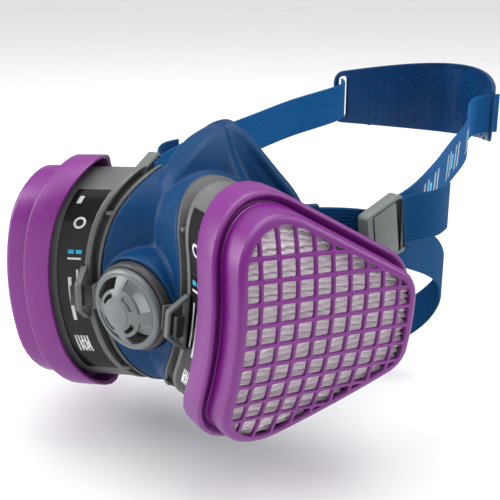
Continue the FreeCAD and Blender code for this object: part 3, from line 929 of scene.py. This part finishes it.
def facepiece():
    """Body, collars, valve hood and seal roll, grown into one soft skin."""
    body = simple_object("facepiece_skin", face_shell())
    duct = placed(prism(outline(-2.6, PORT_REAR_U), -95, -20), CARTRIDGE)
    for _, sign in SIDES:
        cut_away(body, side_object("duct", duct, sign))
    parts = [body] + [side_object("collar", collar(), sign) for _, sign in SIDES]
    hood = revolve([(24.6, -6.5), (24.6, -30), (21.0, -30), (21.0, -12), (22.6, -6.5)])
    parts.append(simple_object("hood", placed(hood, VALVE)))
    right = [Vector((-x, y, z)) for x, y, z in SEAL_LOOP[1:-1]][::-1]
    path = spline([Vector(p) for p in SEAL_LOOP] + right, closed=True, per=8)
    parts.append(simple_object("roll", closed_tube(path, SEAL_ROLL)))
    work = bmesh.new()
    for part in parts:
        work.from_mesh(part.data)
    work.to_mesh(body.data)
    work.free()
    for part in parts[1:]:
        bpy.data.objects.remove(part)
    remesh = body.modifiers.new("grow", "REMESH")
    remesh.mode = "VOXEL"
    remesh.voxel_size = 1.0
    smooth = body.modifiers.new("soften", "SMOOTH")
    smooth.factor = 0.5
    smooth.iterations = 6
    apply_modifiers(body)
    bore = prism(circle(BORE_RADIUS, 96), -60, 10)
    cut_away(body, simple_object("bore", placed(bore, VALVE)))
    body.data.transform(Matrix.Scale(MM, 4))
    body.data.materials.clear()
    body.data.materials.append(FACE)
    finish_mesh(body.data, 50)
    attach(body, "root")
    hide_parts("facepiece")


# ---- exhalation valve ---------------------------------------------------
def arc_window(inner, outer, middle, spread):
    """Outline of an arc-shaped window."""
    half = math.radians(spread / 2)
    steps = 14
    path = []
    for radius, way in ((outer, 1), (inner, -1)):
        for i in range(steps + 1):
            a = math.radians(middle) + way * half * (2 * i / steps - 1)
            path.append((radius * math.cos(a), radius * math.sin(a)))
    return path


def dome_height(r):
    ball = (DOME_RADIUS * DOME_RADIUS + VALVE_DOME * VALVE_DOME) / 2 / VALVE_DOME
    return VALVE_DOME - ball + math.sqrt(max(0.0, ball * ball - r * r))


def valve_cover():
    """Rim, four spokes, a middle ring and a plain centre boss."""
    holes = []
    for quarter in range(4):
        middle = 45 + 90 * quarter
        holes.append(arc_window(12.2, 17.0, middle, 66))
        holes.append(arc_window(8.3, 10.3, middle, 48))
    points, faces = plate(circle(18.6, 96), holes, 1.5, 0.3, 1.8)
    dome = [Vector((p.x, p.y, dome_height(math.hypot(p.x, p.y)) + p.z)) for p in points], faces
    edge = [(17.6, -2.0), (20.3, -2.0), (20.3, 0.6), (19.0, 1.5), (17.4, 1.2)]
    rim = revolve(rounded(edge, [0.2, 0.4, 0.8, 0.6, 0.3]))
    return join([dome, rim, valve_boss()])


def valve_boss():
    """Plain button that follows the dome, with its edge sunk into it."""
    points, faces = cap(7.4, 0.55, 64, 10)
    raised = []
    for p in points:
        lift = 0.35 if p.z > 0.05 else -0.6
        raised.append(Vector((p.x, p.y, dome_height(math.hypot(p.x, p.y)) + lift)))
    return raised, faces


def valve():
    add_piece("valve_cover_piece", valve_cover(), COVER, "exhalation_cover", "valve_cover",
              "exhalation_cover", place=VALVE)
    wall = [(18.0, -28.4), (23.4, -28.4), (23.4, -26.2), (20.8, -25.6), (20.8, -15.2), (22.2, -14.4),
            (22.2, -3.2), (21.4, -2.3), (18.0, -2.3)]
    body = revolve(rounded(wall, [0.3, 0.5, 0.4, 0.4, 0.3, 0.5, 0.5, 0.3, 0.3]))
    holes = [arc_window(4.6, 14.6, 45 + 90 * k, 78) for k in range(4)]
    spider = plate(circle(18.4, 96), holes, 2.0, 0.3, 3.0)
    lowered = [Vector((p.x, p.y, p.z - 11.0)) for p in spider[0]], spider[1]
    add_piece("valve_seat_piece", join([body, lowered]), SEAT, "root", "valve_seat", "exhalation_seat",
              place=VALVE)


# ---- harness ------------------------------------------------------------
def natural_spline(points, per=10):
    """Points along the natural cubic through the route, by chord length."""
    p = np.array([tuple(q) for q in points])
    t = np.concatenate([[0], np.cumsum(np.linalg.norm(np.diff(p, axis=0), axis=1))])
    h = np.diff(t)
    n = len(p)
    system, right = np.eye(n), np.zeros((n, 3))
    for i in range(1, n - 1):
        system[i, i - 1:i + 2] = h[i - 1], 2 * (h[i - 1] + h[i]), h[i]
        right[i] = 6 * ((p[i + 1] - p[i]) / h[i] - (p[i] - p[i - 1]) / h[i - 1])
    m = np.linalg.solve(system, right)
    out = []
    for i in range(n - 1):
        for k in range(per):
            s = h[i] * k / per
            slope = (p[i + 1] - p[i]) / h[i] - h[i] * (2 * m[i] + m[i + 1]) / 6
            out.append(Vector(p[i] + slope * s + m[i] * s * s / 2 + (m[i + 1] - m[i]) * s ** 3 / (6 * h[i])))
    return out + [Vector(p[-1])]


def even(path, step):
    """The same line, with points at even steps."""
    lengths = [0.0]
    for a, b in zip(path, path[1:]):
        lengths.append(lengths[-1] + (b - a).length)
    count = max(2, round(lengths[-1] / step))
    out, i = [], 0
    for k in range(count + 1):
        at = lengths[-1] * k / count
        while i < len(path) - 2 and lengths[i + 1] < at:
            i += 1
        span = lengths[i + 1] - lengths[i]
        out.append(path[i].lerp(path[i + 1], (at - lengths[i]) / span if span else 0))
    return out


def strap_frames(route, lean, step=1.2):
    """Middle line of a strap with its width and thickness directions."""
    path = even(natural_spline(route), step)
    frames = []
    for i, middle in enumerate(path):
        a, b = path[max(0, i - 1)], path[min(len(path) - 1, i + 1)]
        along = (b - a).normalized()
        up = (Vector((0, 0, 1)) - along * (lean * along.z)).normalized()
        frames.append((middle, up, along.cross(up).normalized()))
    return frames


def strap(route, lean):
    """Webbing with cords along its length and thinner edges. Returns the shape and its UVs."""
    per_cord = 4
    cols = WEBBING_CORDS * per_cord + 1
    edges = {0: 0.55, 1: 0.12, cols - 2: 0.12, cols - 1: 0.55}
    front, back, uvs = [], [], []
    frames = strap_frames(route, lean)
    run = 0.0
    for i, (middle, up, across) in enumerate(frames):
        if i:
            run += (middle - frames[i - 1][0]).length
        for j in range(cols):
            x = (j / (cols - 1) - 0.5) * WEBBING_WIDTH
            rib = CORD_HEIGHT * math.cos(2 * math.pi * j / per_cord) if 0 < j < cols - 1 else 0.0
            half = WEBBING_THICKNESS / 2 - CORD_HEIGHT - rib - edges.get(j, 0.0)
            front.append(middle + up * x + across * half)
            back.append(middle + up * x - across * half)
            uvs.append((x, run))
    return slab(front, back, len(frames), cols), uvs + uvs


def cradle_y(x):
    return CRADLE_BACK - CRADLE_DEPTH * (x / CRADLE_HALF) ** 2


def cradle_low(x):
    return 12.5 + 13.5 * (x / CRADLE_HALF) ** 2


def cradle_high(x):
    return 66.0 - 3.0 * (x / CRADLE_HALF) ** 2


def cradle_normal(x):
    return Vector((2 * CRADLE_DEPTH * x / CRADLE_HALF ** 2, 1, 0)).normalized()


def on_buckle(*point):
    return BUCKLE @ Vector(point)


def upper_route():
    half = BUCKLE_LENGTH / 2
    middle = (cradle_low(SLOT_X) + cradle_high(SLOT_X)) / 2
    slot = Vector((SLOT_X, cradle_y(SLOT_X), middle)) + cradle_normal(SLOT_X) * (CRADLE_THICKNESS / 2)
    through = Vector((0.62, 0.78, 0.02))
    start, leaving = on_buckle(half - 9.6, 0, 0.3), on_buckle(half + 2, 0, 0.3)
    return [start] + bend(leaving, on_buckle(half + 30, 0, 0.3), slot - through * 8) + [slot + through * 5]


def tail_route():
    half = BUCKLE_LENGTH / 2
    points = [(half - 2.9, 0, 4.4), (half + 3, 0, 4.7), (half + 12, -0.5, 8.5), (half + 26, -2.0, 10.5),
              (half + 36, -3.5, 7.0)]
    return [on_buckle(*p) for p in points]


LOWER_ROUTE = [(50.5, -5, 16), (56.5, 1.5, 15.5), (63.5, 9, 14.5), (70, 22, 11), (75, 40, 3), (78, 62, -7),
               (80, 84, -19), (78.5, 98, -33), (73, 104, -49), (60, 98, -65), (40, 82, -77),
               (20, 71, -83.5)]


LOWER_MIDDLE = Vector((0, 67.5, -85.5))

# distances along the upper strap
PRINT_STARTS = (38, 84, 130)
PRINT_SLANT = 0.35


def grey_bars():
    return [(first + k, first + k + 2.6, -7, 7) for first in PRINT_STARTS for k in (0, 6, 18, 24)]


def cyan_bars():
    return [(first + 11.5, first + 15.1, -4, 4) for first in PRINT_STARTS]


def strap_print(marks):
    """Slanted printed bars on the outward face of the upper strap, as thin sheets."""
    frames = strap_frames(upper_route(), 1, 1.0)
    sheets = []
    rows, cols = 13, 9
    for along0, along1, x0, x1 in marks:
        top, bottom = [], []
        for i in range(rows):
            for j in range(cols):
                x = x0 + (x1 - x0) * i / (rows - 1)
                run = along0 + (along1 - along0) * j / (cols - 1) + PRINT_SLANT * (x - x0)
                at = min(len(frames) - 2, max(0, int(run)))
                middle = frames[at][0].lerp(frames[at + 1][0], run - at)
                up, across = frames[at][1], frames[at][2]
                top.append(middle + up * x + across * (WEBBING_THICKNESS / 2 + 0.08))
                bottom.append(middle + up * x + across * (WEBBING_THICKNESS / 2 - 0.25))
        sheets.append(slab(top, bottom, rows, cols))
    return join(sheets)


def cradle_arc():
    """Arc length along the cradle's inner face at even steps of x, for turning lengths into x."""
    xs = [CRADLE_HALF * i / 400 for i in range(401)]
    lengths = [0.0]
    for a, b in zip(xs, xs[1:]):
        lengths.append(lengths[-1] + math.hypot(b - a, cradle_y(b) - cradle_y(a)))
    return xs, lengths


ARC_X, ARC_LENGTH = cradle_arc()


def cradle_x(length):
    return math.copysign(float(np.interp(abs(length), ARC_LENGTH, ARC_X)), length)


def cradle_point(length, z, out):
    """Point on the bowed band: out is measured away from the head from the inner face."""
    x = cradle_x(length)
    y = cradle_y(x)
    return Vector((x, y, z)) + cradle_normal(x) * out


def cradle_outline():
    """Rounded outline of the flattened band."""
    end = ARC_LENGTH[-1]
    low, high = [], []
    steps = 40
    for i in range(steps + 1):
        s = -end + 2 * end * i / steps
        x = cradle_x(s)
        low.append((s, cradle_low(x)))
        high.append((s, cradle_high(x)))
    ring = low + high[::-1]
    corners = (0, steps, steps + 1, 2 * steps + 1)
    kept, radii = [], []
    for i, (s, z) in enumerate(ring):
        if i in corners or all(abs(i - k) > 2 for k in corners):
            kept.append((s, z))
            radii.append(CRADLE_CORNER if i in corners else 0)
    return rounded(kept, radii, 6)


def cradle():
    """Moulded band with a slot at each end and rows of small grip bumps on its inner face."""
    slot_s = float(np.interp(SLOT_X, ARC_X, ARC_LENGTH))
    middle = (cradle_low(SLOT_X) + cradle_high(SLOT_X)) / 2
    tall, wide = (WEBBING_WIDTH + 5) / 2, 4.0
    holes = []
    for sign in (-1, 1):
        c = sign * slot_s
        corners = [(c - wide, middle - tall), (c + wide, middle - tall), (c + wide, middle + tall),
                   (c - wide, middle + tall)]
        holes.append(soft_corners(corners, 3.4, 5))
    points, faces = plate(cradle_outline(), holes, CRADLE_THICKNESS, 0.8, 4.0)
    band = [cradle_point(p.x, p.y, CRADLE_THICKNESS + p.z) for p in points], faces
    bumps = []
    for column in range(-10, 11):
        for row in range(6):
            z = 21.5 + row * BUMP_PITCH + (BUMP_PITCH / 2 if column % 2 else 0)
            if z < 57:
                bumps.append(bump(column * BUMP_PITCH, z))
    return join([band] + bumps)


def bump(s, z):
    """Small round bump on the inner face of the band."""
    count = 10
    rings = [(BUMP_RADIUS * 1.25, 0.4), (BUMP_RADIUS, 0.0), (BUMP_RADIUS * 0.85, -0.65),
             (BUMP_RADIUS * 0.45, -1.0)]
    points = []
    for r, out in rings:
        points += [cradle_point(s + x, z + y, out) for x, y in circle(r, count)]
    points.append(cradle_point(s, z, -1.08))
    faces = grid(len(rings), count, False, True)
    last = (len(rings) - 1) * count
    faces += [(last + k, last + (k + 1) % count, last + count) for k in range(count)]
    faces.append(tuple(range(count))[::-1])
    return points, faces


def harness():
    add_piece("cradle_band", cradle(), CRADLE, "head_harness", "cradle", "head_cradle", sharp=40)
    lower = [Vector(p) for p in LOWER_ROUTE]
    right = [Vector((-p.x, p.y, p.z)) for p in lower[::-1]]
    # the lower strap and the strap tails wear the darker webbing copy, which is painted shade
    shape, uvs = strap(lower + [LOWER_MIDDLE] + right, 0)
    add_piece("lower_webbing", shape, STRAP_SHADED, "root", "webbing", "lower_strap", sharp=60, uvs=uvs)
    for side, sign in SIDES:
        for name, route, look, node in (("upper_webbing_", upper_route(), STRAP, "upper_strap_"),
                                        ("webbing_tail_", tail_route(), STRAP_SHADED, "strap_tail_")):
            shape, uvs = strap(route, 1)
            add_piece(name + side, shape, look, "head_harness", "webbing", node + side, side=sign, sharp=60,
                      uvs=uvs)
        for name, marks, ink in (("webbing_print_grey_", grey_bars(), INK_GREY),
                                 ("webbing_print_cyan_", cyan_bars(), INK_CYAN)):
            add_piece(name + side, strap_print(marks), ink, "head_harness", "webbing", side=sign)
        lever = "buckle_lever_" + side
        bevelled("buckle_frame_piece_" + side, "buckle_frame_" + side, BUCKLE_GREY, 0.6, "head_harness")
        bevelled("buckle_lever_piece_" + side, lever, BUCKLE_GREY, 0.4, lever)
        bevelled("strap_lug_piece_" + side, "strap_lug_" + side, CRADLE, 0.9, "root")


def carried_over():
    """Better materials on the CAD pieces whose plain shapes are right."""
    looks = {"outer_screen": SCREEN, "inner_screen": SCREEN, "carbon_bed": CARBON, "port_gasket": GASKET,
             "inhalation_flap": SILICONE, "exhalation_flap": SILICONE, "buckle_pin": STEEL}
    for name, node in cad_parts.items():
        for start, look in looks.items():
            if name.startswith(start):
                node.data.materials.clear()
                node.data.materials.append(look)


# ---- stage --------------------------------------------------------------
def area_light(name, place, size, power):
    """White panel of light that faces the origin."""
    data = bpy.data.lights.new(name, "AREA")
    data.shape = "RECTANGLE"
    data.size, data.size_y = size
    data.energy = power
    lamp = link(name, data)
    lamp.location = place
    lamp.rotation_euler = (-Vector(place)).to_track_quat("-Z", "Y").to_euler()


def stage():
    low, high = cad_box
    floor_z = low[2] - 0.001
    reach = 4.0
    mesh = bpy.data.meshes.new("floor")
    mesh.from_pydata([(-reach, -reach, floor_z), (reach, -reach, floor_z), (reach, reach, floor_z),
                      (-reach, reach, floor_z)], [], [(0, 1, 2, 3)])
    look = Nodes("floor_white", 0.9)
    where = look.place()
    look.colour(look.mix(look.noise(where, 0.01), (0.86, 0.86, 0.86), (0.9, 0.9, 0.9)))
    mesh.materials.append(look.material)
    link("floor", mesh)
    world = bpy.data.worlds.new("studio")
    world.use_nodes = True
    world.node_tree.nodes["Background"].inputs["Color"].default_value = (1, 1, 1, 1)
    world.node_tree.nodes["Background"].inputs["Strength"].default_value = 0.42
    bpy.context.scene.world = world
    bpy.context.scene.view_settings.view_transform = "Standard"
    area_light("key", (-0.9, -0.75, 0.55), (0.6, 1.0), 11)
    area_light("rim", (1.0, 0.7, 0.6), (0.5, 1.0), 6)
    area_light("top", (0.0, 0.2, 1.3), (1.1, 1.1), 9)
    sky = bpy.data.lights.new("overhead", "SUN")
    sky.energy = 1.35
    sky.angle = math.radians(80)
    link("overhead", sky)


def camera():
    data = bpy.data.cameras.new("camera")
    data.lens = 64.8
    data.sensor_width = 36.0
    piece = link("camera", data)
    piece.location = Vector((276.58, -378.37, 158.10)) * MM
    forward = Vector((-0.5466, 0.7698, -0.3296))
    piece.rotation_euler = forward.to_track_quat("-Z", "Y").to_euler()
    bpy.context.scene.camera = piece


camera()
stage()
cartridges()
facepiece()
valve()
harness()
carried_over()
